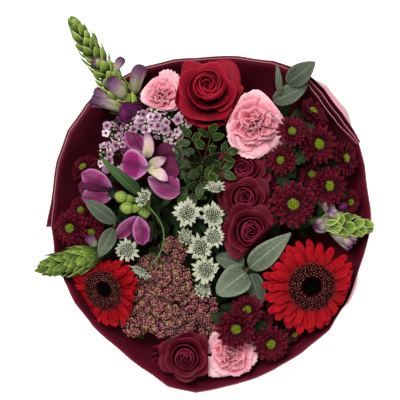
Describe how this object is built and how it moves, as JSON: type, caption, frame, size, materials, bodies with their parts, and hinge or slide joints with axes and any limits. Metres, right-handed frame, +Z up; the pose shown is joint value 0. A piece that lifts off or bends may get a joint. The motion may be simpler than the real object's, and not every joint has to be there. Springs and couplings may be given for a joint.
{
  "type": "mixed flower bouquet in a paper wrapper",
  "caption": "Spiral-tied mixed bouquet standing on its cut stems in a flared paper wrapper, with roses, gerberas, carnations, santini, sedum and eucalyptus.",
  "frame": {"origin": "on the ground, under the middle of the bouquet's box", "axes": "+Z up along the bundle, from the cut ends to the flower faces; +X to the right and +Y to the top of the picture, which looks straight down"},
  "size_m": [0.338, 0.38, 0.4026],
  "materials": {
    "paper": "coated florist paper, soft sheen",
    "ribbon": "satin ribbon",
    "twine": "jute twine",
    "red_rose": "soft velvety petals",
    "dark_rose": "soft velvety petals",
    "carnation": "thin ruffled petals",
    "gerbera": "satin petals",
    "gerbera_disc": "dense dark florets",
    "chrysanthemum": "satin petals",
    "snapdragon": "fresh green buds",
    "alstroemeria": "satin petals",
    "waxflower": "waxy petals",
    "astrantia": "papery bracts",
    "sedum": "tiny fleshy stars",
    "eucalyptus": "matt waxy leaves",
    "leaf": "soft green leaves",
    "stem": "fresh green stems"
  },
  "bodies": {
    "root": {"red_rose_bloom": "red_rose", "red_rose_stem": "stem", "dark_rose_1_bloom": "dark_rose", "dark_rose_1_stem": "stem", "dark_rose_2_bloom": "dark_rose", "dark_rose_2_stem": "stem", "dark_rose_3_bloom": "dark_rose", "dark_rose_3_stem": "stem", "dark_rose_4_bloom": "dark_rose", "dark_rose_4_stem": "stem", "dark_rose_5_bloom": "dark_rose", "dark_rose_5_stem": "stem", "carnation_1_bloom": "carnation", "carnation_1_stem": "stem", "carnation_2_bloom": "carnation", "carnation_2_stem": "stem", "carnation_3_bloom": "carnation", "carnation_3_stem": "stem", "gerbera_1_rays": "gerbera", "gerbera_1_disc": "gerbera_disc", "gerbera_1_stem": "stem", "gerbera_2_rays": "gerbera", "gerbera_2_disc": "gerbera_disc", "gerbera_2_stem": "stem", "chrysanthemum_spray_1": "chrysanthemum", "chrysanthemum_spray_2": "chrysanthemum", "chrysanthemum_spray_3": "chrysanthemum", "chrysanthemum_spray_4": "chrysanthemum", "chrysanthemum_spray_5": "chrysanthemum", "chrysanthemum_spray_6": "chrysanthemum", "chrysanthemum_spray_7": "chrysanthemum", "astrantia_1": "astrantia", "astrantia_2": "astrantia", "astrantia_3": "astrantia", "sedum": "sedum", "waxflower_1": "waxflower", "waxflower_2": "waxflower", "snapdragon_1": "snapdragon", "snapdragon_2": "snapdragon", "snapdragon_3": "snapdragon", "eucalyptus_1": "eucalyptus", "eucalyptus_2": "eucalyptus", "eucalyptus_3": "eucalyptus", "leafy_twig_1": "leaf", "leafy_twig_2": "leaf", "alstroemeria_open_bloom": "alstroemeria", "alstroemeria_side_bloom": "alstroemeria", "alstroemeria_drooping_bloom": "alstroemeria", "alstroemeria_stem": "stem", "wrapper_inner": "paper", "wrapper_outer": "paper", "binding_twine": "twine", "ribbon": "ribbon"}
  },
  "joints": []
}
